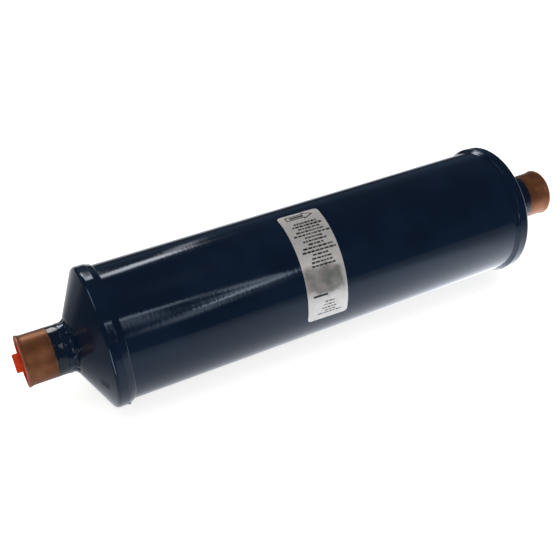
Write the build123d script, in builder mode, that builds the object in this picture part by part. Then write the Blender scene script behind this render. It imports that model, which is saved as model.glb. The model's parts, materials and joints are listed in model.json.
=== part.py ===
from build123d import *
import os
from math import atan, cos, degrees, pi, radians, sin, tan

# A hermetic filter drier for a refrigerant line, in millimetres.
# The axis of the drier is X, the inlet is at -X and the outlet at +X.
# The origin is on the axis, halfway between the two ends, and +Z is up.

# Steel tube
tube_radius = 44.5
tube_wall = 1.8
tube_end_gap = 0.6

# Pressed end caps, slipped over the tube and welded to it
shoulder_x = 151.5
cap_wall = 2.1
cap_slip_gap = 0.05
skirt_length = 5.5
skirt_rounding = 1.0
knuckle_radius = 3.0
cone_angle = 27.5
land_width = 4.15
land_angle = 10.0
land_rounding = 8.0
collar_depth = 5.0
collar_wall = 1.6
inlet_weld_slope = 24.0
outlet_weld_slope = 42.0

# Copper solder fittings, for a line of 28.6 mm, with a neck of the line's own size
line_radius = 14.3
socket_fit = 0.05
socket_wall = 1.75
socket_depth = 25.0
stop_run = 0.43
lead_depth = 8.5
lead_opening = 0.4
flare_length = 3.2
flare_rise = 0.65
neck_wall = 1.4
neck_show = 0.35
neck_inner_reach = 1.2
shoulder_run = 3.9
braze_gap = 0.05
braze_leg = 2.9
braze_rise = 3.6
braze_hollow = 8.0

# Moulded transport plugs
flange_inset = 1.0
flange_thickness = 1.2
flange_rounding = 0.4
spigot_depth = 8.0
spigot_gap = 0.25
spigot_wall = 1.2
spigot_floor = 1.4
tab_length = 11.9
tab_thickness = 2.2
tab_height = 4.1
tab_rounding = 0.5
tab_turn = 40.0

# Rating label, a film on the tube, measured along the axis and round it
label_start_x = -22.2
label_width = 29.4
label_low_angle = -7.8
label_high_angle = 97.3
label_film = 0.12
label_lift = 0.03
label_rounding = 2.5

# Outlet stack inside the tube, from the plate on the cap back to the core
inner_gap = 0.3
seat_gap = 0.1
plate_wall = 1.5
plate_hole_radius = 2.6
plate_hole_pitch = 8.0
screen_thickness = 0.4
gasket_thickness = 4.0
gasket_width = 13.9
pad_gap = 0.2

# Desiccant core, one moulded block with a blind bore
core_gap = 2.7
core_bore_radius = 11.0
core_end_thickness = 43.0
core_chamfer = 2.0

# Inlet stack: felt, pressed pan and spring
felt_thickness = 3.0
felt_inset = 1.0
pan_inset = 2.0
pan_wall = 1.2
pan_rim = 7.0
pan_rounding = 2.0
pan_hole_radius = 4.0
pan_hole_count = 8
pan_hole_circle = 20.0
spring_wire = 3.0
spring_height = 40.0
spring_turns = 4.25
spring_gap = 0.4

# Where the cap's cone would meet its skirt without the knuckle
skirt_radius = tube_radius + cap_slip_gap + cap_wall
knuckle_corner_x = shoulder_x + knuckle_radius * tan(radians(90 - cone_angle) / 2)
cone_slope = tan(radians(cone_angle))
land_slope = tan(radians(land_angle))
neck_radius = line_radius
hole_radius = neck_radius + braze_gap
land_radius = hole_radius + land_width


def cone_x(radius, inset=0.0):
    """Axial place of the cap's cone at a radius, outside or inset by a wall."""
    along = (skirt_radius - radius) * cone_slope
    return knuckle_corner_x + along - inset / cos(radians(cone_angle))


def land_x(radius, inset=0.0):
    """Axial place of the nearly flat land round the cap's hole."""
    along = (land_radius - radius) * land_slope
    return cone_x(land_radius) + along - inset / cos(radians(land_angle))


land_top_x = land_x(hole_radius)
inner_corner_radius = land_radius - (
    cap_wall * (1 / cos(radians(cone_angle)) - 1 / cos(radians(land_angle))) / (cone_slope - land_slope)
)
collar_x = land_top_x - collar_depth
tube_half_length = shoulder_x - tube_end_gap
bore_radius = tube_radius - tube_wall

# Places along the fitting, from the cap's land out to the rim
neck_x = land_top_x + neck_show
shoulder_end_x = neck_x + shoulder_run
stop_x = shoulder_end_x + stop_run
rim_x = stop_x + socket_depth
lead_x = rim_x - lead_depth
fitting_end_x = collar_x - neck_inner_reach
socket_radius = line_radius + socket_fit
socket_outer_radius = socket_radius + socket_wall
neck_bore_radius = neck_radius - neck_wall
rim_outer_radius = socket_outer_radius + flare_rise
mouth_radius = socket_radius + lead_opening
rim_inner_radius = mouth_radius + flare_rise
flange_radius = rim_outer_radius - flange_inset

# The outlet plate's rim rests on the inside of the cap's cone
plate_radius = bore_radius - inner_gap
plate_face_x = cone_x(plate_radius, cap_wall) - seat_gap
plate_x = plate_face_x - plate_wall
screen_x = plate_x - screen_thickness
gasket_x = screen_x - gasket_thickness
gasket_hole_radius = plate_radius - gasket_width
plate_rings = int((gasket_hole_radius - plate_hole_radius) / plate_hole_pitch)

# Core and pan, inside the tube
core_radius = bore_radius - core_gap
pan_radius = core_radius - pan_inset

# The spring's small end is centred by the cap's collar, its large end by the pan's rim
spring_small_radius = hole_radius + collar_wall + spring_gap + spring_wire / 2
spring_large_radius = pan_radius - pan_wall - pan_rounding - spring_wire / 2
spring_seat_x = cone_x(spring_small_radius + spring_wire / 2, cap_wall) - seat_gap
pan_x = spring_height - spring_seat_x

# The core fills the length between the two stacks
felt_x = pan_x + pan_wall
core_x = felt_x + felt_thickness
core_length = gasket_x - core_x

ENDS = {"inlet": -1, "outlet": 1}
WELD_SLOPES = {"inlet": inlet_weld_slope, "outlet": outlet_weld_slope}

os.makedirs("parts", exist_ok=True)


def save(part, name):
    """Label a finished piece and write it."""
    part.label = name
    export_step(part, f"parts/{name}.step")


def section(side):
    """Plane of a half section: x runs outwards along the axis, y is the radius."""
    return Plane(origin=(0, 0, 0), x_dir=(side, 0, 0), z_dir=(0, -side, 0))


def end_cap(side):
    """Pressed cap: skirt, rounded knuckle, shallow cone and a hole with an inward collar."""
    outer = [
        (shoulder_x - skirt_length, skirt_radius),
        (knuckle_corner_x, skirt_radius),
        (cone_x(land_radius), land_radius),
        (land_top_x, hole_radius),
    ]
    inner = [
        (collar_x, hole_radius),
        (collar_x, hole_radius + collar_wall),
        (land_x(hole_radius + collar_wall, cap_wall), hole_radius + collar_wall),
        (cone_x(inner_corner_radius, cap_wall), inner_corner_radius),
        (cone_x(skirt_radius - cap_wall, cap_wall), skirt_radius - cap_wall),
        (shoulder_x - skirt_length, skirt_radius - cap_wall),
    ]
    roundings = [
        (outer[0], skirt_rounding),
        (outer[1], knuckle_radius),
        (outer[2], land_rounding),
        (inner[3], land_rounding - cap_wall),
        (inner[4], knuckle_radius - cap_wall),
    ]
    with BuildPart() as cap:
        with BuildSketch(section(side)) as profile:
            with BuildLine():
                Polyline(*outer, *inner, close=True)
            make_face()
            for place, radius in roundings:
                corner = profile.vertices().sort_by_distance((*place, 0))[0]
                fillet(corner, radius)
        revolve(axis=Axis.X)
    return cap.part


def cap_weld(side, slope):
    """Fillet weld that slopes from the rounded edge of the cap's skirt down to the tube."""
    skirt_edge_x = shoulder_x - skirt_length
    foot = tube_radius + cap_slip_gap
    rounding_start = (skirt_edge_x, skirt_radius - skirt_rounding)
    lean = radians(slope)
    top_x = skirt_edge_x + skirt_rounding * (1 - sin(lean))
    top_radius = skirt_radius - skirt_rounding * (1 - cos(lean))
    toe_x = top_x - (top_radius - foot) / tan(lean)
    with BuildPart() as weld:
        with BuildSketch(section(side)):
            with BuildLine():
                base = Polyline((toe_x, foot), (skirt_edge_x, foot), rounding_start)
                edge = TangentArc(base @ 1, (top_x, top_radius), tangent=(0, 1))
                Line(edge @ 1, base @ 0)
            make_face()
        revolve(axis=Axis.X)
    return weld.part


def fitting(side):
    """Copper stub: neck through the cap, shoulder, solder socket and flared mouth."""
    with BuildPart() as stub:
        with BuildSketch(section(side)):
            with BuildLine():
                outside = Polyline(
                    (fitting_end_x, neck_bore_radius),
                    (fitting_end_x, neck_radius),
                    (neck_x, neck_radius),
                    (shoulder_end_x, socket_outer_radius),
                    (rim_x - flare_length, socket_outer_radius),
                )
                outer_flare = TangentArc(
                    outside @ 1,
                    (rim_x, rim_outer_radius),
                    tangent=(1, 0),
                )
                rim = Line(outer_flare @ 1, (rim_x, rim_inner_radius))
                inner_flare = TangentArc(
                    (rim_x - flare_length, mouth_radius),
                    rim @ 1,
                    tangent=(1, 0),
                )
                Polyline(
                    inner_flare @ 0,
                    (lead_x, socket_radius),
                    (stop_x, socket_radius),
                    (stop_x - shoulder_run / 2, neck_bore_radius),
                    outside @ 0,
                )
            make_face()
        revolve(axis=Axis.X)
    return stub.part


def braze_ring(side):
    """Bead of braze in the corner between the neck and the land of the cap."""
    foot = neck_radius + braze_gap
    shoulder_slope = (socket_outer_radius - neck_radius) / shoulder_run
    top_x = neck_x + braze_rise
    land_end = foot + braze_leg
    with BuildPart() as bead:
        with BuildSketch(section(side)):
            with BuildLine():
                base = Polyline(
                    (land_x(land_end) + braze_gap, land_end),
                    (land_top_x + braze_gap, foot),
                    (neck_x, foot),
                    (top_x, foot + braze_gap + braze_rise * shoulder_slope),
                )
                RadiusArc(base @ 1, base @ 0, braze_hollow)
            make_face()
        revolve(axis=Axis.X)
    return bead.part


def plug(side):
    """Moulded plug: flange on the rim, tapered hollow spigot and a pull tab across it."""
    root = mouth_radius - spigot_gap
    tip = socket_radius - spigot_gap
    floor_x = rim_x - spigot_depth
    face_x = rim_x + flange_thickness
    turn = radians(tab_turn)
    tab_plane = Plane(origin=(0, 0, 0), x_dir=(side, 0, 0), z_dir=(0, -side * cos(turn), side * sin(turn)))
    tab_root_x = floor_x + spigot_floor / 2
    tab_end_x = face_x + tab_height
    with BuildPart() as body:
        with BuildSketch(section(side)) as profile:
            with BuildLine():
                Polyline(
                    (floor_x, 0),
                    (floor_x, tip),
                    (rim_x, root),
                    (rim_x, flange_radius),
                    (face_x, flange_radius),
                    (face_x, root - spigot_wall),
                    (floor_x + spigot_floor, tip - spigot_wall),
                    (floor_x + spigot_floor, 0),
                    close=True,
                )
            make_face()
            flange_corner = profile.vertices().sort_by_distance((face_x, flange_radius, 0))[0]
            fillet(flange_corner, flange_rounding)
        revolve(axis=Axis.X)
        with BuildSketch(tab_plane) as outline:
            with Locations(((tab_root_x + tab_end_x) / 2, 0)):
                Rectangle(tab_end_x - tab_root_x, tab_length)
            outer_corners = outline.vertices().filter_by(lambda corner: abs(corner.X) > face_x)
            fillet(outer_corners, tab_rounding)
        extrude(amount=tab_thickness / 2, both=True)
    return body.part


for end, side in ENDS.items():
    save(end_cap(side), f"{end}_end_cap")
    save(cap_weld(side, WELD_SLOPES[end]), f"{end}_cap_weld")
    save(fitting(side), f"{end}_fitting")
    save(braze_ring(side), f"{end}_braze_ring")
    save(plug(side), f"{end}_plug")

# Tube, open at both ends inside the caps
with BuildPart() as shell_tube:
    with BuildSketch(Plane.YZ.offset(-tube_half_length)):
        Circle(tube_radius)
        Circle(bore_radius, mode=Mode.SUBTRACT)
    extrude(amount=2 * tube_half_length)
save(shell_tube.part, "shell_tube")

# Label, a film wrapped round the tube on the side that faces -Y
with BuildPart() as rating_label:
    with BuildSketch(Plane.XZ):
        with Locations((label_start_x + label_width / 2, tube_radius + label_lift + label_film / 2)):
            Rectangle(label_width, label_film)
    revolve(axis=Axis.X, revolution_arc=label_high_angle - label_low_angle)
    corners = rating_label.edges().filter_by(lambda edge: edge.length < 2 * label_film)
    fillet(corners, label_rounding)
save(rating_label.part.rotate(Axis.X, 90 - label_high_angle), "rating_label")

# Perforated plate that carries the core at the outlet
with BuildPart() as support_plate:
    with BuildSketch(Plane.YZ.offset(plate_x)):
        Circle(plate_radius)
        Circle(plate_hole_radius, mode=Mode.SUBTRACT)
        for ring in range(1, plate_rings + 1):
            with PolarLocations(ring * plate_hole_pitch, 6 * ring):
                Circle(plate_hole_radius, mode=Mode.SUBTRACT)
    extrude(amount=plate_wall)
save(support_plate.part, "support_plate")

# Wire screen that lies against the plate
with BuildPart() as outlet_screen:
    with BuildSketch(Plane.YZ.offset(screen_x)):
        Circle(plate_radius)
    extrude(amount=screen_thickness)
save(outlet_screen.part, "outlet_screen")

# Felt ring that seals the end of the core, and the filter pad inside the ring
with BuildPart() as core_gasket:
    with BuildSketch(Plane.YZ.offset(gasket_x)):
        Circle(plate_radius)
        Circle(gasket_hole_radius, mode=Mode.SUBTRACT)
    extrude(amount=gasket_thickness)
save(core_gasket.part, "core_gasket")

with BuildPart() as filter_pad:
    with BuildSketch(Plane.YZ.offset(gasket_x)):
        Circle(gasket_hole_radius - pad_gap)
    extrude(amount=gasket_thickness)
save(filter_pad.part, "filter_pad")

# Core with a blind bore that opens to the outlet
with BuildPart() as core_block:
    with BuildSketch(Plane.YZ.offset(core_x)):
        Circle(core_radius)
    extrude(amount=core_length)
    chamfer(core_block.edges().filter_by(GeomType.CIRCLE), core_chamfer)
    with BuildSketch(Plane.YZ.offset(core_x + core_end_thickness)):
        Circle(core_bore_radius)
    extrude(amount=core_length - core_end_thickness, mode=Mode.SUBTRACT)
save(core_block.part, "core_block")

# Felt between the core's closed end and the pan
with BuildPart() as inlet_felt:
    with BuildSketch(Plane.YZ.offset(felt_x)):
        Circle(core_radius - core_chamfer - felt_inset)
    extrude(amount=felt_thickness)
save(inlet_felt.part, "inlet_felt")

# Pressed pan that spreads the load of the spring over the felt
with BuildPart() as spring_pan:
    with BuildSketch(Plane.YZ.offset(pan_x + pan_wall)):
        Circle(pan_radius)
    extrude(amount=-pan_rim)
    closed_edge = spring_pan.edges().sort_by(Axis.X)[-1]
    fillet(closed_edge, pan_rounding + pan_wall)
    offset(amount=-pan_wall, openings=spring_pan.faces().sort_by(Axis.X)[0])
    with BuildSketch(Plane.YZ.offset(pan_x)):
        with PolarLocations(pan_hole_circle, pan_hole_count):
            Circle(pan_hole_radius)
    extrude(amount=pan_wall, mode=Mode.SUBTRACT)
save(spring_pan.part, "spring_pan")

# Conical spring with ground ends, from the inlet cap to the pan
spring_rise = spring_height - spring_wire / 2
spring_cone = degrees(atan((spring_large_radius - spring_small_radius) / spring_rise))
with BuildPart() as core_spring:
    with BuildLine() as coil:
        Helix(
            pitch=spring_rise / spring_turns,
            height=spring_rise,
            radius=spring_small_radius,
            center=(-spring_seat_x + spring_wire / 4, 0, 0),
            direction=(1, 0, 0),
            cone_angle=spring_cone,
        )
    with BuildSketch(Plane(origin=coil.line @ 0, z_dir=coil.line % 0)):
        Circle(spring_wire / 2)
    sweep(is_frenet=True)
    split(bisect_by=Plane.YZ.offset(-spring_seat_x), keep=Keep.TOP)
    split(bisect_by=Plane.YZ.offset(pan_x), keep=Keep.BOTTOM)
save(core_spring.part, "core_spring")

wire_length = coil.edges()[0].length
print("spring volume over section times length:",
      round(core_spring.part.volume / (pi * spring_wire**2 / 4 * wire_length), 3))
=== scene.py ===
import json
import random
from math import cos, pi, radians, sin, tan

import bpy
from mathutils import Matrix, Vector, noise


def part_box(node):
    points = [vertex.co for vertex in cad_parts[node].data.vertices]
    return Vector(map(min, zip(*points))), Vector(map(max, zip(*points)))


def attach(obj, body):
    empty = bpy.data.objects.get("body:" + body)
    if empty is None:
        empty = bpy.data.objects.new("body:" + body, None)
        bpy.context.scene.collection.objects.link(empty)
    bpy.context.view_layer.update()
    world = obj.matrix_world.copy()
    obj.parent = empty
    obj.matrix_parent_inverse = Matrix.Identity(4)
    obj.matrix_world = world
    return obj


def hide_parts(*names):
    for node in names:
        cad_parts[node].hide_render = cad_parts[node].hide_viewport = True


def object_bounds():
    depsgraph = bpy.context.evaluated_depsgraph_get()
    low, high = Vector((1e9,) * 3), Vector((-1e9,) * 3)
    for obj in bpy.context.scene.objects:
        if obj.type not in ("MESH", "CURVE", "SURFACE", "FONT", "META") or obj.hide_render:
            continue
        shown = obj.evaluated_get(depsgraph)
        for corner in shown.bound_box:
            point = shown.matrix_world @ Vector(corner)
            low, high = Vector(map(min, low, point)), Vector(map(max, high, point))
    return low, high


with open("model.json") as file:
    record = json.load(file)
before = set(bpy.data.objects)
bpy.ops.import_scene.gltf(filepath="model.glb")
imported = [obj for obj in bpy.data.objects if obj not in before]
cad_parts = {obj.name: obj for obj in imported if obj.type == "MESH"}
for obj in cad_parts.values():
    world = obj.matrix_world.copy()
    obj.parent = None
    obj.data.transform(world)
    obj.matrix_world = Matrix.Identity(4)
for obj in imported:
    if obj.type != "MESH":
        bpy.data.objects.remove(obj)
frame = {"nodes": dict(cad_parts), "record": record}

# A hermetic filter drier that lies on a white table, in metres.
# Its axis is X, the inlet is at -X and the outlet at +X.
# Angles round the axis start at the side that faces -Y and rise towards +Z.

MM = 0.001
nodes = frame["nodes"]
cad_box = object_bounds()
bpy.ops.object.select_all(action="DESELECT")

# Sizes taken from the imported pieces
tube_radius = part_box("shell_tube")[1].z
skirt_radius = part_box("inlet_end_cap")[1].z
floor_z = cad_box[0].z
rim_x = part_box("outlet_fitting")[1].x
rim_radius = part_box("outlet_fitting")[1].z


# Camera at the photograph's viewing angle, held level

CAMERA_PLACE = (-0.230454, -0.408046, 0.387605)
CAMERA_AZIMUTH = -27.135
CAMERA_ELEVATION = 40.45
CAMERA_LENS = 56.53
SENSOR_WIDTH = 36.0

lens = bpy.data.cameras.new("camera")
lens.sensor_width = SENSOR_WIDTH
lens.lens = CAMERA_LENS
camera = bpy.data.objects.new("camera", lens)
camera.location = CAMERA_PLACE
camera.rotation_euler = (radians(90 - CAMERA_ELEVATION), 0, radians(CAMERA_AZIMUTH))
bpy.context.scene.collection.objects.link(camera)
bpy.context.scene.camera = camera
bpy.context.scene.view_settings.view_transform = "Standard"


# Shader helpers

def set_inputs(tree, node, inputs):
    """Give a node's inputs their values or links."""
    for socket, value in inputs.items():
        if isinstance(value, bpy.types.NodeSocket):
            tree.links.new(value, node.inputs[socket])
        else:
            node.inputs[socket].default_value = value


def add(tree, kind, inputs=None, **settings):
    """Put a node in a tree, with its settings and its inputs' values or links."""
    made = tree.nodes.new(kind)
    for name, value in settings.items():
        setattr(made, name, value)
    set_inputs(tree, made, inputs or {})
    return made


def maths(tree, operation, first, second=0.0, third=0.0):
    """A maths node's result."""
    return add(tree, "ShaderNodeMath", {0: first, 1: second, 2: third}, operation=operation).outputs[0]


def ramp(tree, value, low, high, start=0.0, end=1.0):
    """A value that runs smoothly from start to end as the input goes from low to high."""
    made = add(
        tree,
        "ShaderNodeMapRange",
        {"Value": value, "From Min": low, "From Max": high, "To Min": start, "To Max": end},
        interpolation_type="SMOOTHSTEP",
    )
    return made.outputs["Result"]


def mix_colours(tree, factor, first, second):
    """A colour between two others."""
    return add(tree, "ShaderNodeMix", {0: factor, 6: first, 7: second}, data_type="RGBA").outputs[2]


def cloud(tree, place, scale, detail=1.0, distortion=0.0):
    """A noise from 0 to 1 that drifts over the piece."""
    inputs = {"Vector": place, "Scale": scale, "Detail": detail, "Distortion": distortion}
    return add(tree, "ShaderNodeTexNoise", inputs).outputs["Fac"]


def split(tree, vector):
    """A vector's X, Y and Z."""
    return add(tree, "ShaderNodeSeparateXYZ", {0: vector}).outputs


def rgb(red, green, blue):
    """A colour with full alpha."""
    return (red, green, blue, 1.0)


def start_group(name, inputs, outputs):
    """A shader node group with its named sockets, and its input and output nodes."""
    group = bpy.data.node_groups.new(name, "ShaderNodeTree")
    for title, kind, value in inputs:
        socket = group.interface.new_socket(title, in_out="INPUT", socket_type=kind)
        socket.default_value = value
    for title, kind in outputs:
        group.interface.new_socket(title, in_out="OUTPUT", socket_type=kind)
    return group, group.nodes.new("NodeGroupInput").outputs, group.nodes.new("NodeGroupOutput").inputs


def use_group(tree, group, **values):
    """Place a group in a material, with its inputs' values or links, and give its outputs."""
    return add(tree, "ShaderNodeGroup", values, node_tree=group).outputs


def surface_place(tree):
    """Place on the piece, in metres."""
    return add(tree, "ShaderNodeTexCoord").outputs["Object"]


# Shared surface effects

MOTTLE_LOW = 0.35
MOTTLE_HIGH = 0.65
MOTTLE_DETAIL = 4.0
GRAIN_EDGE = 0.7


def build_turned_ripple():
    """Height of fine marks that run round the axis, with their pitch along it and their length round it."""
    group, given, result = start_group(
        "turned_ripple",
        [("Place", "NodeSocketVector", (0, 0, 0)), ("Pitch", "NodeSocketFloat", 1 * MM),
         ("Length", "NodeSocketFloat", 20 * MM)],
        [("Height", "NodeSocketFloat")],
    )
    parts = split(group, given["Place"])
    along = maths(group, "DIVIDE", parts["X"], given["Pitch"])
    across = maths(group, "DIVIDE", parts["Y"], given["Length"])
    upward = maths(group, "DIVIDE", parts["Z"], given["Length"])
    stretched = add(group, "ShaderNodeCombineXYZ", {0: along, 1: across, 2: upward}).outputs[0]
    group.links.new(cloud(group, stretched, 1.0, detail=2.0), result["Height"])
    return group


def build_mottle():
    """A colour that drifts between two tones in soft patches of a given size."""
    group, given, result = start_group(
        "mottle",
        [("Place", "NodeSocketVector", (0, 0, 0)), ("Size", "NodeSocketFloat", 10 * MM),
         ("First", "NodeSocketColor", (0, 0, 0, 1)), ("Second", "NodeSocketColor", (1, 1, 1, 1))],
        [("Color", "NodeSocketColor"), ("Mask", "NodeSocketFloat")],
    )
    scale = maths(group, "DIVIDE", 1.0, given["Size"])
    patches = cloud(group, given["Place"], scale, detail=MOTTLE_DETAIL)
    mask = ramp(group, patches, MOTTLE_LOW, MOTTLE_HIGH)
    group.links.new(mix_colours(group, mask, given["First"], given["Second"]), result["Color"])
    group.links.new(mask, result["Mask"])
    return group


def build_bead_grain():
    """Rounded grains of a given size, with their height and a tone for each grain."""
    group, given, result = start_group(
        "bead_grain",
        [("Place", "NodeSocketVector", (0, 0, 0)), ("Size", "NodeSocketFloat", 2 * MM)],
        [("Height", "NodeSocketFloat"), ("Tone", "NodeSocketFloat")],
    )
    scale = maths(group, "DIVIDE", 1.0, given["Size"])
    cells = add(group, "ShaderNodeTexVoronoi", {"Vector": given["Place"], "Scale": scale}).outputs
    group.links.new(ramp(group, cells["Distance"], 0.0, GRAIN_EDGE, 1.0, 0.0), result["Height"])
    group.links.new(split(group, cells["Color"])["X"], result["Tone"])
    return group


turned_ripple = build_turned_ripple()
mottle = build_mottle()
bead_grain = build_bead_grain()


# Materials

def start_material(name):
    """A new material, its node tree and its Principled shader."""
    made = bpy.data.materials.new(name)
    made.use_nodes = True
    return made, made.node_tree, made.node_tree.nodes["Principled BSDF"]


def bump(tree, height, distance, strength=1.0, normal=None):
    """A bumped normal from a height, on top of another normal if one is given."""
    inputs = {"Height": height, "Distance": distance, "Strength": strength}
    if normal is not None:
        inputs["Normal"] = normal
    return add(tree, "ShaderNodeBump", inputs).outputs["Normal"]


NAVY_DEEP = rgb(0.0022, 0.0062, 0.0165)
NAVY_LIGHT = rgb(0.0030, 0.0085, 0.0220)
PAINT_GLOSS = rgb(0.68, 0.82, 1.0)
ENAMEL_IOR = 1.5
PAINT_PATCH = 30 * MM
PAINT_SMOOTH = 0.07
PAINT_DULL = 0.11
SHEET_WAVES = 22.0
SHEET_WAVE_DEPTH = 0.22 * MM
TURN_PITCH = 2.2 * MM
TURN_LENGTH = 25 * MM
TURN_DEPTH = 0.03 * MM
ORANGE_PEEL = 380.0
ORANGE_PEEL_DEPTH = 0.008 * MM


def paint_normal(tree, place):
    """Normal of the sprayed paint: long waves of the sheet, marks round the axis and orange peel."""
    waves = cloud(tree, place, SHEET_WAVES)
    ripple = use_group(tree, turned_ripple, Place=place, Pitch=TURN_PITCH, Length=TURN_LENGTH)
    peel = cloud(tree, place, ORANGE_PEEL)
    wavy = bump(tree, waves, SHEET_WAVE_DEPTH)
    marked = bump(tree, ripple["Height"], TURN_DEPTH, normal=wavy)
    return bump(tree, peel, ORANGE_PEEL_DEPTH, normal=marked)


def make_navy_paint():
    """Gloss navy enamel sprayed on steel."""
    made, tree, shader = start_material("navy_paint")
    place = surface_place(tree)
    tone = use_group(tree, mottle, Place=place, Size=PAINT_PATCH, First=NAVY_DEEP, Second=NAVY_LIGHT)
    set_inputs(tree, shader, {
        "Base Color": tone["Color"],
        "Roughness": ramp(tree, tone["Mask"], 0.0, 1.0, PAINT_SMOOTH, PAINT_DULL),
        "IOR": ENAMEL_IOR,
        "Specular Tint": PAINT_GLOSS,
        "Normal": paint_normal(tree, place),
    })
    return made


COPPER_DARK = rgb(0.235, 0.085, 0.035)
COPPER_LIGHT = rgb(0.325, 0.127, 0.058)
COPPER_HEATED = rgb(0.165, 0.064, 0.026)
# Lighter copper past the rim is a painted highlight, standing in for the light that the mouth's edge
# catches.
COPPER_LIP_HIGHLIGHT = rgb(0.52, 0.19, 0.12)
COPPER_PATCH = 9 * MM
LIP_BLEND = 0.3 * MM
PAINT_EDGE_X = 179.9 * MM
PAINT_EDGE_WAVES = 90.0
PAINT_EDGE_WOBBLE = 0.9 * MM
PAINT_EDGE_BLEND = 0.25 * MM
PAINT_EDGE_STEP = 0.08 * MM
PAINT_EDGE_STRENGTH = 0.6
OUTLET_PAINT_SHIFT = 1.7 * MM
STAIN_PITCH = 5 * MM
STAIN_LENGTH = 12 * MM
STAIN_LOW = 0.3
STAIN_HIGH = 0.6
STAIN_CLEAN = 0.55
BURNT_REACH = 5 * MM
BURNT_CLEAN = 0.25
BARE_METAL = 0.76
FITTING_PAINT_ROUGHNESS = 0.10
BARE_ROUGHNESS = 0.27
PATCH_ROUGHNESS = 0.06
DRAWN_PITCH = 0.35 * MM
DRAWN_LENGTH = 20 * MM
DRAWN_DEPTH = 0.012 * MM
FITTING_PEEL = 260.0
FITTING_PEEL_DEPTH = 0.04 * MM
PAINT_SAGS = 190.0
PAINT_SAG_DEPTH = 0.45 * MM


def make_fitting_copper():
    """Drawn copper that is bare from the paint's edge out to the rim, with a painted highlight colour past
    the rim.
    """
    made, tree, shader = start_material("fitting_copper")
    place = surface_place(tree)
    along = split(tree, place)["X"]
    reach = maths(tree, "ABSOLUTE", along)
    wobble = cloud(tree, place, PAINT_EDGE_WAVES, detail=2.0)
    edge = maths(tree, "MULTIPLY_ADD", wobble, PAINT_EDGE_WOBBLE, PAINT_EDGE_X)
    outlet = maths(tree, "GREATER_THAN", along, 0.0)
    edge = maths(tree, "MULTIPLY_ADD", outlet, OUTLET_PAINT_SHIFT, edge)
    past_edge = maths(tree, "SUBTRACT", reach, edge)
    bare = ramp(tree, past_edge, -PAINT_EDGE_BLEND, PAINT_EDGE_BLEND)
    copper = use_group(tree, mottle, Place=place, Size=COPPER_PATCH, First=COPPER_DARK, Second=COPPER_LIGHT)
    stain = use_group(tree, turned_ripple, Place=place, Pitch=STAIN_PITCH, Length=STAIN_LENGTH)
    aged = ramp(tree, stain["Height"], STAIN_LOW, STAIN_HIGH, STAIN_CLEAN, 1.0)
    burnt = ramp(tree, past_edge, 0.0, BURNT_REACH, BURNT_CLEAN, 1.0)
    heat = mix_colours(tree, maths(tree, "MULTIPLY", aged, burnt), COPPER_HEATED, copper["Color"])
    # Past the rim the heat-stained copper turns to the painted highlight colour.
    stained_with_rim_highlight = mix_colours(tree, ramp(tree, reach, rim_x, rim_x + LIP_BLEND), heat, COPPER_LIP_HIGHLIGHT)
    rough = maths(tree, "MULTIPLY_ADD", bare, BARE_ROUGHNESS, FITTING_PAINT_ROUGHNESS)
    lines = use_group(tree, turned_ripple, Place=place, Pitch=DRAWN_PITCH, Length=DRAWN_LENGTH)
    step = bump(tree, bare, PAINT_EDGE_STEP, strength=PAINT_EDGE_STRENGTH)
    fine = bump(tree, lines["Height"], DRAWN_DEPTH, normal=step)
    peeled = bump(tree, cloud(tree, place, FITTING_PEEL), FITTING_PEEL_DEPTH, normal=fine)
    painted = maths(tree, "SUBTRACT", 1.0, bare)
    sag = maths(tree, "MULTIPLY", cloud(tree, place, PAINT_SAGS), painted)
    set_inputs(tree, shader, {
        "Base Color": mix_colours(tree, bare, NAVY_DEEP, stained_with_rim_highlight),
        "Metallic": maths(tree, "MULTIPLY", bare, BARE_METAL),
        "Roughness": maths(tree, "MULTIPLY_ADD", copper["Mask"], PATCH_ROUGHNESS, rough),
        "IOR": ENAMEL_IOR,
        "Normal": bump(tree, sag, PAINT_SAG_DEPTH, normal=peeled),
    })
    return made


PLUG_DEEP = rgb(0.46, 0.022, 0.002)
PLUG_LIGHT = rgb(0.60, 0.045, 0.004)
PLUG_PATCH = 5 * MM
PLUG_ROUGHNESS = 0.42
PLUG_IOR = 1.5
PLUG_SHINE = 0.2
PLUG_SCATTER = 0.1
PLUG_SCATTER_REACH = 1.5 * MM
PLUG_SCATTER_COLOURS = (1.0, 0.25, 0.1)
PLUG_GRAIN = 900.0
PLUG_GRAIN_DEPTH = 0.02 * MM


def make_red_plastic():
    """Moulded polyethylene of the transport plugs."""
    made, tree, shader = start_material("red_plastic")
    place = surface_place(tree)
    tone = use_group(tree, mottle, Place=place, Size=PLUG_PATCH, First=PLUG_DEEP, Second=PLUG_LIGHT)
    set_inputs(tree, shader, {
        "Base Color": tone["Color"],
        "Roughness": PLUG_ROUGHNESS,
        "IOR": PLUG_IOR,
        "Specular IOR Level": PLUG_SHINE,
        "Subsurface Weight": PLUG_SCATTER,
        "Subsurface Radius": PLUG_SCATTER_COLOURS,
        "Subsurface Scale": PLUG_SCATTER_REACH,
        "Normal": bump(tree, cloud(tree, place, PLUG_GRAIN, detail=2.0), PLUG_GRAIN_DEPTH),
    })
    return made


FILM_WARM = rgb(0.68, 0.64, 0.61)
FILM_COOL = rgb(0.73, 0.70, 0.68)
FILM_PATCH = 4 * MM
FILM_METAL = 0.68
FILM_ROUGHNESS = 0.42
FILM_GRAIN = 1500.0
FILM_GRAIN_DEPTH = 0.01 * MM
FIELD_DARK = rgb(0.125, 0.135, 0.120)
FIELD_LIGHT = rgb(0.27, 0.25, 0.235)
FIELD_PATCH = 9 * MM
FIELD_COVER = 0.93
FIELD_METAL_LOSS = -0.3
FIELD_WAVES = 95.0

# Edges of the grey field and their drift, as shares of the label's height and width
FIELD_LOW = 0.24
FIELD_HIGH = 0.475
FIELD_SOFT = 0.03
FIELD_LEFT = (-0.08, 0.10)
FIELD_RIGHT = (0.84, 1.0)
FIELD_DRIFT = 0.16
SIDE_DRIFT = 2.0


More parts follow.
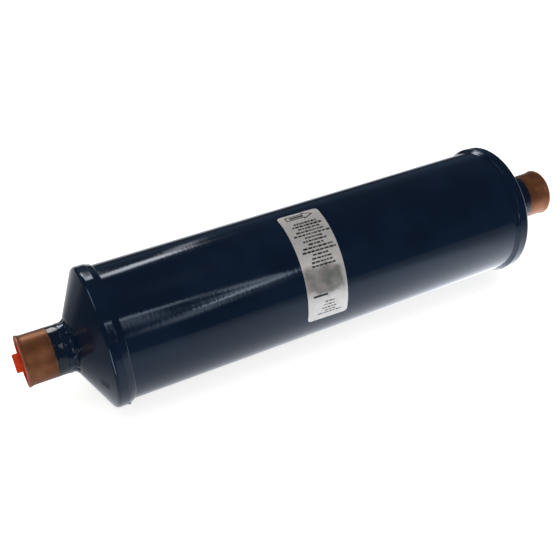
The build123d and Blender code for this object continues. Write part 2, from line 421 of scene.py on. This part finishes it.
def make_silver_film():
    """Satin silver label stock, with the soft grey field of print low on it."""
    made, tree, shader = start_material("silver_film")
    place = surface_place(tree)
    sheet = split(tree, add(tree, "ShaderNodeUVMap", uv_map="sheet").outputs["UV"])
    tone = use_group(tree, mottle, Place=place, Size=FILM_PATCH, First=FILM_WARM, Second=FILM_COOL)
    blur = cloud(tree, place, FIELD_WAVES, detail=2.0)
    drift = maths(tree, "MULTIPLY_ADD", blur, FIELD_DRIFT, -FIELD_DRIFT / 2)
    height = maths(tree, "ADD", sheet["Y"], drift)
    side = maths(tree, "ADD", sheet["X"], maths(tree, "MULTIPLY", drift, SIDE_DRIFT))
    low = ramp(tree, height, FIELD_LOW - FIELD_SOFT, FIELD_LOW + FIELD_SOFT)
    high = ramp(tree, height, FIELD_HIGH - FIELD_SOFT, FIELD_HIGH + FIELD_SOFT, 1.0, 0.0)
    left = ramp(tree, side, *FIELD_LEFT)
    right = ramp(tree, side, *FIELD_RIGHT, 1.0, 0.0)
    tall = maths(tree, "MULTIPLY", low, high)
    field = maths(tree, "MULTIPLY", tall, maths(tree, "MULTIPLY", left, right))
    patches = use_group(tree, mottle, Place=place, Size=FIELD_PATCH, First=FIELD_DARK, Second=FIELD_LIGHT)
    covered = maths(tree, "MULTIPLY", field, FIELD_COVER)
    set_inputs(tree, shader, {
        "Base Color": mix_colours(tree, covered, tone["Color"], patches["Color"]),
        "Metallic": maths(tree, "MULTIPLY_ADD", field, FIELD_METAL_LOSS, FILM_METAL),
        "Roughness": FILM_ROUGHNESS,
        "Normal": bump(tree, cloud(tree, place, FILM_GRAIN, detail=2.0), FILM_GRAIN_DEPTH),
    })
    return made


INK_DARK = rgb(0.012, 0.012, 0.012)
INK_LIGHT = rgb(0.028, 0.027, 0.026)
INK_PATCH = 0.8 * MM
INK_ROUGHNESS = 0.5


def make_black_ink():
    """Printing ink on the label, a little broken."""
    made, tree, shader = start_material("black_ink")
    place = surface_place(tree)
    tone = use_group(tree, mottle, Place=place, Size=INK_PATCH, First=INK_DARK, Second=INK_LIGHT)
    set_inputs(tree, shader, {"Base Color": tone["Color"], "Roughness": INK_ROUGHNESS})
    return made


BEAD_DARK = rgb(0.62, 0.53, 0.40)
BEAD_LIGHT = rgb(0.82, 0.76, 0.63)
# Darker colour in the hollows between the beads is painted shade.
BEAD_GAP_SHADE = rgb(0.35, 0.29, 0.21)
BEAD_SIZE = 1.8 * MM
BEAD_ROUGHNESS = 0.85
BEAD_DEPTH = 0.5 * MM


def make_bonded_beads():
    """Cream desiccant beads bonded in a block, darkened with painted shade in the hollows between them."""
    made, tree, shader = start_material("bonded_beads")
    place = surface_place(tree)
    grain = use_group(tree, bead_grain, Place=place, Size=BEAD_SIZE)
    tone = mix_colours(tree, grain["Tone"], BEAD_DARK, BEAD_LIGHT)
    set_inputs(tree, shader, {
        # The low places between beads take the painted shade colour.
        "Base Color": mix_colours(tree, grain["Height"], BEAD_GAP_SHADE, tone),
        "Roughness": BEAD_ROUGHNESS,
        "Normal": bump(tree, grain["Height"], BEAD_DEPTH),
    })
    return made


FELT_DARK = rgb(0.62, 0.60, 0.54)
FELT_LIGHT = rgb(0.80, 0.79, 0.74)
FELT_PATCH = 2 * MM
FELT_ROUGHNESS = 0.95
FELT_SHEEN = 0.3
FELT_FIBRES = 1400.0
FELT_TANGLE = 1.5
FELT_DEPTH = 0.2 * MM


def make_pressed_felt():
    """Off-white fibre felt."""
    made, tree, shader = start_material("pressed_felt")
    place = surface_place(tree)
    tone = use_group(tree, mottle, Place=place, Size=FELT_PATCH, First=FELT_DARK, Second=FELT_LIGHT)
    fibres = cloud(tree, place, FELT_FIBRES, detail=3.0, distortion=FELT_TANGLE)
    set_inputs(tree, shader, {
        "Base Color": tone["Color"],
        "Roughness": FELT_ROUGHNESS,
        "Sheen Weight": FELT_SHEEN,
        "Normal": bump(tree, fibres, FELT_DEPTH),
    })
    return made


STEEL_DARK = rgb(0.42, 0.42, 0.43)
STEEL_LIGHT = rgb(0.60, 0.60, 0.61)
STEEL_PATCH = 8 * MM
STEEL_SMOOTH = 0.28
STEEL_DULL = 0.42
STEEL_LINE_PITCH = 0.3 * MM
STEEL_LINE_LENGTH = 15 * MM
STEEL_LINE_DEPTH = 0.01 * MM


def make_bare_steel():
    """Bright pressed steel and spring wire."""
    made, tree, shader = start_material("bare_steel")
    place = surface_place(tree)
    tone = use_group(tree, mottle, Place=place, Size=STEEL_PATCH, First=STEEL_DARK, Second=STEEL_LIGHT)
    lines = use_group(tree, turned_ripple, Place=place, Pitch=STEEL_LINE_PITCH, Length=STEEL_LINE_LENGTH)
    set_inputs(tree, shader, {
        "Base Color": tone["Color"],
        "Metallic": 1.0,
        "Roughness": ramp(tree, tone["Mask"], 0.0, 1.0, STEEL_SMOOTH, STEEL_DULL),
        "Normal": bump(tree, lines["Height"], STEEL_LINE_DEPTH),
    })
    return made


navy_paint = make_navy_paint()
fitting_copper = make_fitting_copper()
red_plastic = make_red_plastic()
silver_film = make_silver_film()
black_ink = make_black_ink()
bonded_beads = make_bonded_beads()
pressed_felt = make_pressed_felt()
bare_steel = make_bare_steel()

FINISHES = {
    "blue_paint": navy_paint,
    "fitting_copper": fitting_copper,
    "plug_red": red_plastic,
    "label_film": silver_film,
    "core_desiccant": bonded_beads,
    "inner_felt": pressed_felt,
    "inner_steel": bare_steel,
}
for subpart in frame["record"]["subparts"]:
    for held in nodes[subpart["node"]].material_slots:
        held.material = FINISHES[subpart["material_slot"]]


# Table, room and lamps

TABLE_SIZE = 30.0
bpy.ops.mesh.primitive_plane_add(size=TABLE_SIZE, location=(0, 0, floor_z))
floor = bpy.context.object
floor.name = "floor"

WHITE = rgb(1.0, 1.0, 1.0)
BLACK = rgb(0.0, 0.0, 0.0)
TABLE_GREY = rgb(0.72, 0.72, 0.72)
TABLE_SEEN = rgb(1.0, 0.995, 0.985)
TABLE_IN_GLOSS = rgb(0.925, 0.97, 1.04)
TABLE_ROUGHNESS = 0.9
TABLE_GLOW = 0.70

# Pool of light on the table that shows only in gloss.
# Each of its sides is an axis, the two places between which the light changes, and its shares there.
POOL_PLACE = (0.2, 0.0, floor_z)
POOL_REACH = 0.16
POOL_LIGHT = 2.7
POOL_SPILL = 0.52
POOL_SIDES = (
    ("X", -0.27, -0.12, 0.4, 1.0),
    ("X", -0.46, -0.33, 0.25, 1.0),
    ("X", 0.17, 0.23, 1.0, 0.78),
    ("Y", 0.26, 0.42, 1.0, 0.12),
)

# Beam of light on the table that starts in front of the inlet and shows only in gloss
BEAM_START = (-0.225, -0.120, floor_z)
BEAM_AZIMUTH = -120.0
BEAM_LIGHT = 3.2
BEAM_SOURCE_REACH = 0.06
BEAM_NEAREST = 0.01
BEAM_CORE = 0.1
BEAM_EDGE = 0.35
BEAM_FRONT = (-0.005, 0.02)


def measure(tree, operation, place, other):
    """Distance of a place from a point, or its reach along a direction."""
    return add(tree, "ShaderNodeVectorMath", {0: place, 1: other}, operation=operation).outputs["Value"]


def beam_on_table(tree, place):
    """Share of light in a beam that spreads over the table away from the drier's inlet."""
    heading = radians(BEAM_AZIMUTH)
    start = add(tree, "ShaderNodeVectorMath", {0: place, 1: BEAM_START}, operation="SUBTRACT").outputs[0]
    along = measure(tree, "DOT_PRODUCT", start, (sin(heading), cos(heading), 0.0))
    sideways = measure(tree, "DOT_PRODUCT", start, (cos(heading), -sin(heading), 0.0))
    from_source = maths(tree, "ADD", along, BEAM_SOURCE_REACH)
    from_source = maths(tree, "MAXIMUM", from_source, BEAM_NEAREST)
    spread = maths(tree, "DIVIDE", maths(tree, "ABSOLUTE", sideways), from_source)
    inside = ramp(tree, spread, BEAM_CORE, BEAM_EDGE, 1.0, 0.0)
    return maths(tree, "MULTIPLY", inside, ramp(tree, along, *BEAM_FRONT))


def make_white_table():
    """Table that is white to the camera and shows pools of light in the gloss of what stands on it."""
    made, tree, shader = start_material("white_table")
    place = surface_place(tree)
    parts = split(tree, place)
    fall = maths(tree, "DIVIDE", measure(tree, "DISTANCE", place, POOL_PLACE), -POOL_REACH)
    pool = maths(tree, "MULTIPLY_ADD", maths(tree, "EXPONENT", fall), POOL_LIGHT, POOL_SPILL)
    for axis, low, high, first, last in POOL_SIDES:
        pool = maths(tree, "MULTIPLY", pool, ramp(tree, parts[axis], low, high, first, last))
    pool = maths(tree, "MULTIPLY_ADD", beam_on_table(tree, place), BEAM_LIGHT, pool)
    rays = add(tree, "ShaderNodeLightPath").outputs
    glossy = rays["Is Glossy Ray"]
    seen = maths(tree, "MAXIMUM", rays["Is Camera Ray"], rays["Is Transmission Ray"])
    set_inputs(tree, shader, {
        "Base Color": mix_colours(tree, glossy, TABLE_GREY, BLACK),
        "Emission Color": mix_colours(tree, glossy, TABLE_SEEN, TABLE_IN_GLOSS),
        "Emission Strength": maths(
            tree, "MULTIPLY_ADD", glossy, pool, maths(tree, "MULTIPLY", seen, TABLE_GLOW)),
        "Roughness": TABLE_ROUGHNESS,
        "Specular IOR Level": 0.0,
    })
    return made


floor.data.materials.append(make_white_table())

WALL_LOW = rgb(0.09, 0.13, 0.18)
WALL_HIGH = rgb(0.06, 0.065, 0.07)
WALL_TOP = 0.55
ROOM_LIGHT = rgb(0.45, 0.45, 0.45)


def make_room():
    """Room that is white to the camera, dark in reflections and soft grey as light."""
    room = bpy.data.worlds.new("room")
    bpy.context.scene.world = room
    room.use_nodes = True
    tree = room.node_tree
    tree.nodes.clear()
    rays = add(tree, "ShaderNodeLightPath").outputs
    rise = split(tree, add(tree, "ShaderNodeTexCoord").outputs["Generated"])["Z"]
    wall = mix_colours(tree, ramp(tree, rise, 0.0, WALL_TOP), WALL_LOW, WALL_HIGH)
    light = mix_colours(tree, rays["Is Glossy Ray"], ROOM_LIGHT, wall)
    seen = maths(tree, "MAXIMUM", rays["Is Camera Ray"], rays["Is Transmission Ray"])
    sky = mix_colours(tree, seen, light, WHITE)
    shone = add(tree, "ShaderNodeBackground", {"Color": sky, "Strength": 1.0})
    add(tree, "ShaderNodeOutputWorld", {"Surface": shone.outputs[0]})


def aim(azimuth, elevation, distance):
    """A point seen from the drier's centre at an azimuth from +Y towards +X, and its turn to face back."""
    azimuth, elevation = radians(azimuth), radians(elevation)
    point = Vector((sin(azimuth) * cos(elevation), cos(azimuth) * cos(elevation), sin(elevation))) * distance
    return point, (-point).to_track_quat("-Z", "Y")


def soft_lamp(name, azimuth, elevation, distance, size, power):
    """A broad area lamp that lights the object without showing in its gloss."""
    lamp = bpy.data.lights.new(name, "AREA")
    lamp.shape = "DISK"
    lamp.size = size
    lamp.energy = power
    placed = bpy.data.objects.new(name, lamp)
    placed.location, turn = aim(azimuth, elevation, distance)
    placed.rotation_mode = "QUATERNION"
    placed.rotation_quaternion = turn
    placed.visible_glossy = False
    bpy.context.scene.collection.objects.link(placed)


STRIP_DISTANCE = 3.0


def glow_strip(name, start, end, width, strength, softness):
    """A lit strip between two directions that shows only in gloss, and fades over a share of its size."""
    first, second = aim(*start, STRIP_DISTANCE)[0], aim(*end, STRIP_DISTANCE)[0]
    run = second - first
    along = run.normalized()
    middle = (first + second) / 2
    facing = -middle.normalized()
    facing = (facing - along * facing.dot(along)).normalized()
    bpy.ops.mesh.primitive_plane_add(size=1.0)
    panel = bpy.context.object
    panel.name = name
    panel.location = middle
    panel.rotation_mode = "QUATERNION"
    panel.rotation_quaternion = Matrix((along, facing.cross(along), facing)).transposed().to_quaternion()
    panel.scale = (run.length, width, 1.0)
    panel.visible_camera = False
    panel.visible_diffuse = False
    panel.visible_shadow = False
    panel.data.materials.append(make_strip_glow(name, strength, softness))


def make_strip_glow(name, strength, softness):
    """Light that adds to what lies behind its strip and fades towards the strip's edges."""
    made = bpy.data.materials.new(name)
    made.use_nodes = True
    tree = made.node_tree
    tree.nodes.clear()
    place = split(tree, surface_place(tree))
    fades = []
    for axis in ("X", "Y"):
        reach = maths(tree, "ABSOLUTE", place[axis])
        fades.append(ramp(tree, reach, 0.5 - softness / 2, 0.5, 1.0, 0.0))
    shape = maths(tree, "MULTIPLY", fades[0], fades[1])
    shine = add(tree, "ShaderNodeEmission", {"Strength": maths(tree, "MULTIPLY", shape, strength)})
    clear = add(tree, "ShaderNodeBsdfTransparent")
    blend = add(tree, "ShaderNodeAddShader", {0: clear.outputs[0], 1: shine.outputs[0]})
    add(tree, "ShaderNodeOutputMaterial", {"Surface": blend.outputs[0]})
    return made


# Lamps: name, azimuth, elevation, distance, size and power
SOFT_LAMPS = (
    ("overhead", 0, 88, 1.6, 1.8, 14),
    ("front_fill", 200, 35, 1.8, 1.2, 8),
)

# Lit strips: name, azimuth and elevation of each end, width, strength and softness
GLOW_STRIPS = (
    ("window", (4.5, 41.0), (15.2, 24.0), 0.44, 6.2, 0.8),
    ("window_low", (13.0, 38.0), (14.4, 8.0), 0.20, 2.0, 0.9),
    ("window_halo", (4.0, 46.0), (13.0, 20.0), 1.0, 0.42, 1.0),
    ("middle_window", (1.0, 42.0), (0.0, 12.0), 0.70, 7.0, 0.9),
    ("second_window", (-2.0, 28.0), (-17.0, 15.0), 0.36, 6.5, 0.7),
    ("high_strip_near", (152.0, 38.0), (158.0, 52.0), 0.26, 3.3, 0.8),
    ("high_strip_far", (155.5, 49.5), (180.0, 61.0), 0.26, 2.4, 0.7),
    ("high_patch", (169.0, 36.0), (166.0, 62.0), 0.26, 1.3, 0.8),
    ("low_strip_near", (150.0, 42.0), (166.5, 33.0), 0.18, 6.2, 0.8),
    ("low_strip_far", (159.0, 36.0), (172.0, 24.5), 0.50, 1.8, 1.0),
    ("strip_wedge", (153.5, 40.5), (164.0, 41.0), 0.30, 1.9, 1.0),
    ("strip_haze", (148.0, 38.0), (172.0, 38.0), 1.1, 0.28, 1.0),
    ("left_card", (-86.0, 32.0), (-44.0, 32.0), 1.0, 2.6, 0.6),
    ("left_door", (-130.0, -1.0), (-124.0, 7.0), 0.5, 2.4, 0.6),
    ("ceiling_patch", (140.0, 72.0), (30.0, 68.0), 0.5, 0.10, 1.0),
)

make_room()
for settings in SOFT_LAMPS:
    soft_lamp(*settings)
for settings in GLOW_STRIPS:
    glow_strip(*settings)


# Modelling helpers

def select_none():
    """Leave edit mode if it is on, with nothing selected."""
    if bpy.context.object and bpy.context.object.mode == "EDIT":
        bpy.ops.object.mode_set(mode="OBJECT")
    bpy.ops.object.select_all(action="DESELECT")


MERGE_DISTANCE = 0.001 * MM


def turned_ring(name, side, profile, steps):
    """A closed ring turned round the axis from its section's places along it and radii, in millimetres."""
    bpy.ops.mesh.primitive_circle_add(vertices=len(profile), radius=1.0)
    ring = bpy.context.object
    ring.name = name
    for vertex, (along, radius) in zip(ring.data.vertices, profile):
        vertex.co = (side * along * MM, -radius * MM, 0)
    bpy.ops.object.mode_set(mode="EDIT")
    bpy.ops.mesh.select_all(action="SELECT")
    bpy.ops.mesh.spin(steps=steps, angle=2 * pi, center=(0, 0, 0), axis=(1, 0, 0))
    bpy.ops.mesh.select_all(action="SELECT")
    bpy.ops.mesh.remove_doubles(threshold=MERGE_DISTANCE)
    bpy.ops.mesh.normals_make_consistent(inside=False)
    bpy.ops.object.mode_set(mode="OBJECT")
    return ring


FINE_LUMPS = 2.3
FINE_SHARE = 0.4
WANDER_ROW = 7.0
WANDER_SIZE = 3


def lump(ring, foot, rise, size, height, drift=0.0, ceiling=None):
    """Raise and lower a ring's outer skin in soft lumps above its foot, and let it drift along the axis."""
    wide = WANDER_SIZE * size
    for vertex in ring.data.vertices:
        out = Vector((0, vertex.co.y, vertex.co.z))
        radius = out.length
        share = min(1.0, max(0.0, (radius - foot) / rise))
        swell = noise.noise(vertex.co / size) + FINE_SHARE * noise.noise(vertex.co * FINE_LUMPS / size)
        wander = noise.noise(Vector((WANDER_ROW, vertex.co.y / wide, vertex.co.z / wide)))
        radius += share * height * swell
        if ceiling:
            radius = min(radius, ceiling)
        vertex.co.x += wander * drift
        out = out.normalized() * radius
        vertex.co.y, vertex.co.z = out.y, out.z


def finish_bead(bead, node):
    """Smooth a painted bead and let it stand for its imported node."""
    smooth = bead.modifiers.new("smooth", "SUBSURF")
    smooth.levels = 1
    smooth.render_levels = 1
    bpy.context.view_layer.objects.active = bead
    bpy.ops.object.modifier_apply(modifier=smooth.name)
    bpy.ops.object.shade_smooth()
    bead.data.materials.append(navy_paint)
    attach(bead, "drier")
    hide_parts(node)
    select_none()


DETAIL_CREASE = 50


def finish_details(pieces, name):
    """Join small painted pieces in one that rides on the drier."""
    select_none()
    for piece in pieces:
        piece.select_set(True)
    bpy.context.view_layer.objects.active = pieces[0]
    if len(pieces) > 1:
        bpy.ops.object.join()
    joined = bpy.context.object
    joined.name = name
    bpy.ops.object.shade_smooth_by_angle(angle=radians(DETAIL_CREASE))
    joined.data.materials.append(navy_paint)
    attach(joined, "drier")
    select_none()


# Welds, braze and the copper's lips

# Sections of the weld beads and the braze, as places along the axis and radii in millimetres
INLET_WELD = (
    (141.9, 44.40), (142.1, 44.72), (142.35, 45.15), (142.75, 45.45), (143.6, 45.75), (144.8, 46.12),
    (146.0, 46.45), (147.0, 46.62), (147.7, 46.60), (147.4, 46.25), (146.2, 45.60), (143.5, 44.40),
)
OUTLET_WELD = (
    (143.5, 44.40), (143.9, 44.66), (144.4, 44.97), (145.1, 45.42), (145.8, 45.88), (146.5, 46.28),
    (147.2, 46.55), (147.9, 46.62), (147.6, 46.25), (146.6, 45.60), (145.0, 44.40),
)
BRAZE = (
    (167.9, 17.90), (168.3, 17.80), (168.75, 17.30), (169.3, 16.75), (170.0, 16.38),
    (170.9, 16.16), (171.9, 16.10), (172.9, 16.18), (173.8, 16.18), (174.6, 16.00),
    (173.2, 15.40), (171.0, 14.70), (168.9, 14.50), (168.0, 15.80),
)
WELD_STEPS = 256
WELD_RISE = 1.2 * MM
WELD_LUMP = 7 * MM
WELD_LUMP_HEIGHT = 0.10 * MM
WELD_DRIFT = 0.5 * MM
WELD_TOP_GAP = 0.02 * MM
BRAZE_STEPS = 128
BRAZE_FOOT = 15.8 * MM
BRAZE_RISE = 0.8 * MM
BRAZE_LUMP = 3.2 * MM
BRAZE_LUMP_HEIGHT = 0.85 * MM


def make_beads():
    """Painted weld beads at the skirts and braze in the corners of the necks."""
    ceiling = skirt_radius - WELD_TOP_GAP
    for end, side, section in (("inlet", -1, INLET_WELD), ("outlet", 1, OUTLET_WELD)):
        weld = turned_ring(f"{end}_weld_bead", side, section, WELD_STEPS)
        lump(weld, tube_radius, WELD_RISE, WELD_LUMP, WELD_LUMP_HEIGHT, drift=WELD_DRIFT, ceiling=ceiling)
        finish_bead(weld, f"{end}_cap_weld")
        braze = turned_ring(f"{end}_braze_bead", side, BRAZE, BRAZE_STEPS)
        lump(braze, BRAZE_FOOT, BRAZE_RISE, BRAZE_LUMP, BRAZE_LUMP_HEIGHT)
        finish_bead(braze, f"{end}_braze_ring")


# Section of the lip outside the plug's flange, in millimetres from the fitting's rim and its radius
LIP_DEPTH = 1.15
LIP_SECTION = (
    (-0.15, -0.10), (0.25, 0.00), (0.70, -0.02), (1.00, -0.16), (LIP_DEPTH, -0.42), (LIP_DEPTH, -0.66),
    (0.95, -0.88), (0.40, -0.90), (-0.15, -0.90),
)
LIP_STEPS = 128


def make_rim_lips():
    """Edges of the copper mouths, which stand round the plugs' flanges; their brightness is the copper's
    painted highlight colour past the rim.
    """
    for end, side in (("inlet", -1), ("outlet", 1)):
        section = [(rim_x / MM + along, rim_radius / MM + rise) for along, rise in LIP_SECTION]
        lip = turned_ring(f"{end}_rim_lip", side, section, LIP_STEPS)
        bpy.ops.object.shade_smooth()
        # The lip lies past the rim, where the copper material paints its highlight colour.
        lip.data.materials.append(fitting_copper)
        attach(lip, "drier")
        select_none()


# Small marks of the inlet cap, where a plain length or radius is in millimetres

CONE_CORNER_X = 153.32
CONE_ANGLE = 27.5
MARK_LENGTH = 7.0
MARK_WIDTH = 0.6
MARK_HEIGHT = 0.4
MARK_ROUNDING = 0.12 * MM
MARK_SEGMENTS = 3
MARK_RADIUS = 36.5
MARK_ANGLES = (-5.5, -8.6, -11.7)


def make_cap_marks():
    """Three short ridges that lie up the slope of the inlet cap."""
    marks = []
    lean = radians(CONE_ANGLE)
    cone_x = -(CONE_CORNER_X + (skirt_radius / MM - MARK_RADIUS) * tan(lean))
    for angle in MARK_ANGLES:
        turn = radians(angle)
        out = Vector((0, -cos(turn), sin(turn)))
        slope = (out * cos(lean) + Vector((sin(lean), 0, 0))).normalized()
        raised = Vector((-cos(lean), 0, 0)) + out * sin(lean)
        bpy.ops.mesh.primitive_cube_add(size=1.0)
        mark = bpy.context.object
        place = (Vector((cone_x, 0, 0)) + out * MARK_RADIUS) * MM
        turned = Matrix((slope, raised.cross(slope), raised)).transposed().to_4x4()
        sized = Matrix.Diagonal((MARK_LENGTH * MM, MARK_WIDTH * MM, MARK_HEIGHT * MM, 1.0))
        mark.matrix_world = Matrix.Translation(place) @ turned @ sized
        bpy.ops.object.transform_apply(location=True, rotation=True, scale=True)
        bpy.ops.object.mode_set(mode="EDIT")
        bpy.ops.mesh.bevel(offset=MARK_ROUNDING, segments=MARK_SEGMENTS)
        bpy.ops.object.mode_set(mode="OBJECT")
        marks.append(mark)
    finish_details(marks, "inlet_cap_marks")


NIB_X = -145.2
NIB_ANGLE = -44.0
NIB_RADIUS = 46.2
NIB_SIZE = 0.9
NIB_SHAPE = (1.3, 0.9, 1.0)
NIB_SEGMENTS = 20
NIB_RINGS = 12


def make_paint_nib():
    """A drop of paint that dried at the foot of the inlet cap's skirt."""
    turn = radians(NIB_ANGLE)
    place = (NIB_X * MM, -cos(turn) * NIB_RADIUS * MM, sin(turn) * NIB_RADIUS * MM)
    bpy.ops.mesh.primitive_uv_sphere_add(
        segments=NIB_SEGMENTS, ring_count=NIB_RINGS, radius=NIB_SIZE * MM, location=place)
    nib = bpy.context.object
    nib.scale = NIB_SHAPE
    bpy.ops.object.transform_apply(location=True, rotation=True, scale=True)
    finish_details([nib], "inlet_paint_nib")


# Label, made flat and rolled onto the tube between two angles

LABEL_TOP = 97.3
LABEL_FOOT = -7.8
LABEL_MID_X = -7.7 * MM
LABEL_WIDTH = 29.4 * MM
LABEL_TURN = 1.78
LABEL_LIFT = 0.03 * MM
LABEL_CORNER = 2.5 * MM
CORNER_SEGMENTS = 6
LABEL_CREASE = 30
FILM_THICKNESS = 0.12 * MM
CUT_STEP = 1.5
label_radius = tube_radius + LABEL_LIFT
label_length = radians(LABEL_TOP - LABEL_FOOT) * label_radius


def cut_rows(length, radius):
    """Cut the mesh that is being edited into rows narrow enough to follow the tube."""
    count = round(length / (radians(CUT_STEP) * radius))
    for row in range(1, count):
        height = length * (row / count - 0.5)
        bpy.ops.mesh.select_all(action="SELECT")
        bpy.ops.mesh.bisect(plane_co=(0, height, 0), plane_no=(0, 1, 0))


def wrap_on_tube(piece, lift):
    """Roll a flat piece onto the tube, turned a little as the label was stuck on."""
    turn = radians(LABEL_TURN)
    middle = radians(LABEL_TOP + LABEL_FOOT) / 2
    sheet = piece.data.uv_layers.get("sheet") or piece.data.uv_layers.new(name="sheet")
    for loop in piece.data.loops:
        flat = piece.data.vertices[loop.vertex_index].co
        sheet.data[loop.index].uv = (flat.x / LABEL_WIDTH + 0.5, flat.y / label_length + 0.5)
    for vertex in piece.data.vertices:
        flat = vertex.co.copy()
        along = flat.x * cos(turn) + flat.y * sin(turn)
        around = flat.y * cos(turn) - flat.x * sin(turn)
        angle = middle + around / label_radius
        radius = label_radius + lift + flat.z
        vertex.co = (LABEL_MID_X + along, -radius * cos(angle), radius * sin(angle))


def thicken(piece, thickness):
    """Give a sheet its thickness, outwards."""
    wall = piece.modifiers.new("thickness", "SOLIDIFY")
    wall.thickness = thickness
    wall.offset = 1.0
    bpy.context.view_layer.objects.active = piece
    bpy.ops.object.modifier_apply(modifier=wall.name)


def make_label_film():
    """The label's film with rounded corners."""
    bpy.ops.mesh.primitive_plane_add(size=1.0)
    film = bpy.context.object
    film.name = "label_film"
    film.scale = (LABEL_WIDTH, label_length, 1.0)
    bpy.ops.object.transform_apply(scale=True)
    bpy.ops.object.mode_set(mode="EDIT")
    bpy.ops.mesh.select_all(action="SELECT")
    bpy.ops.mesh.bevel(offset=LABEL_CORNER, segments=CORNER_SEGMENTS, affect="VERTICES")
    cut_rows(label_length, label_radius)
    bpy.ops.object.mode_set(mode="OBJECT")
    wrap_on_tube(film, 0.0)
    thicken(film, FILM_THICKNESS)
    bpy.ops.object.shade_smooth_by_angle(angle=radians(LABEL_CREASE))
    film.data.materials.append(silver_film)
    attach(film, "drier")
    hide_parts("rating_label")
    select_none()


# Print on the label. Half widths of rows, lengths of words and gaps between words are in millimetres.
# A foot row is its angle round the tube and its half width. A bar is its place across, width and height.
INK_THICKNESS = 0.012 * MM
INK_LIFT = 0.015 * MM
LETTER_HEIGHT = 1.6 * MM
HEADING_ROWS = 2
HEADING_SHARE = 1.2
TEXT_SHARE = 0.9
FOOT_SHARE = 0.55
TEXT_MID = 1.2 * MM
ROW_TOP_ANGLE = 83.0
ROW_PITCH = 2.46 * MM
ROW_HALF_WIDTHS = (8.6, 10.5, 7.8, 10.2, 12.8, 6.2, 8.5, 5.6, 10.7, 12.0, 5.6, 7.0, 8.0, 8.6)
FOOT_ROWS = ((9.6, 3.4), (6.6, 4.4), (3.6, 5.6), (0.8, 4.0), (-1.6, 8.8))
WORD_LENGTHS = (1.0, 3.2)
WORD_HEIGHTS = (0.7, 1.0)
WORD_GAPS = (0.35, 0.65)
SHORTEST_END = 0.8 * MM
HEAVY_BAR_ANGLE = 16.5
HEAVY_BAR = (-5.3 * MM, 10.5 * MM, 1.5 * MM)
ARROW_BAR = (-2.2 * MM, 10.0 * MM, 1.7 * MM)
ARROW_ANGLE = 91.8
ARROW_LENGTH = 20.0 * MM
ARROW_HEAD = 7.5 * MM
ARROW_HALF_HEIGHT = 3.7 * MM
ARROW_SHAFT_HALF = 2.2 * MM
ARROW_LINE = 0.8 * MM
ROW_DRAWS = 7


def sheet_height(angle):
    """Height on the flat label of an angle round the tube."""
    return radians(angle - (LABEL_TOP + LABEL_FOOT) / 2) * label_radius


def ink_bar(across, up, width, height):
    """A printed bar, flat, measured from the label's middle."""
    bpy.ops.mesh.primitive_plane_add(size=1.0, location=(across, up, 0))
    bar = bpy.context.object
    bar.scale = (width, height, 1.0)
    return bar


def print_row(draw, middle, up, half_width, height):
    """A row of bars of word length."""
    bars = []
    left = middle - half_width
    while left < middle + half_width - SHORTEST_END:
        word = min(draw.uniform(*WORD_LENGTHS) * MM, middle + half_width - left)
        bars.append(ink_bar(left + word / 2, up, word, height * draw.uniform(*WORD_HEIGHTS)))
        left += word + draw.uniform(*WORD_GAPS) * MM
    return bars


def flow_arrow():
    """An outlined arrow that points to the outlet."""
    up = sheet_height(ARROW_ANGLE)
    tail, neck, tip = -ARROW_LENGTH / 2, ARROW_LENGTH / 2 - ARROW_HEAD, ARROW_LENGTH / 2
    corners = [
        (tail, -ARROW_SHAFT_HALF), (neck, -ARROW_SHAFT_HALF), (neck, -ARROW_HALF_HEIGHT), (tip, 0),
        (neck, ARROW_HALF_HEIGHT), (neck, ARROW_SHAFT_HALF), (tail, ARROW_SHAFT_HALF),
    ]
    bpy.ops.mesh.primitive_circle_add(vertices=len(corners), radius=1.0, fill_type="NGON")
    arrow = bpy.context.object
    for vertex, (across, height) in zip(arrow.data.vertices, corners):
        vertex.co = (across, up + height, 0)
    bpy.ops.object.mode_set(mode="EDIT")
    bpy.ops.mesh.select_all(action="SELECT")
    bpy.ops.mesh.inset(thickness=ARROW_LINE)
    bpy.ops.mesh.delete(type="FACE")
    bpy.ops.mesh.select_all(action="SELECT")
    bpy.ops.mesh.normals_make_consistent(inside=False)
    bpy.ops.object.mode_set(mode="OBJECT")
    return arrow


def make_label_print():
    """Rows of plain bars with a heavy bar between them, and an outlined flow arrow with a bar in it."""
    draw = random.Random(ROW_DRAWS)
    printed = []
    for row, half_width in enumerate(ROW_HALF_WIDTHS):
        height = LETTER_HEIGHT * (HEADING_SHARE if row < HEADING_ROWS else TEXT_SHARE)
        up = sheet_height(ROW_TOP_ANGLE) - row * ROW_PITCH
        printed += print_row(draw, TEXT_MID, up, half_width * MM, height)
    for angle, half_width in FOOT_ROWS:
        up = sheet_height(angle)
        printed += print_row(draw, TEXT_MID, up, half_width * MM, LETTER_HEIGHT * FOOT_SHARE)
    for angle, (across, width, height) in ((HEAVY_BAR_ANGLE, HEAVY_BAR), (ARROW_ANGLE, ARROW_BAR)):
        printed.append(ink_bar(across, sheet_height(angle), width, height))
    printed.append(flow_arrow())
    for bar in printed:
        bar.select_set(True)
    bpy.context.view_layer.objects.active = printed[0]
    bpy.ops.object.transform_apply(location=True, rotation=True, scale=True)
    bpy.ops.object.join()
    ink = bpy.context.object
    ink.name = "label_print"
    bpy.ops.object.mode_set(mode="EDIT")
    cut_rows(label_length, label_radius)
    bpy.ops.object.mode_set(mode="OBJECT")
    wrap_on_tube(ink, FILM_THICKNESS + INK_LIFT)
    thicken(ink, INK_THICKNESS)
    ink.data.materials.append(black_ink)
    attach(ink, "drier")
    select_none()


make_beads()
make_rim_lips()
make_cap_marks()
make_paint_nib()
make_label_film()
make_label_print()
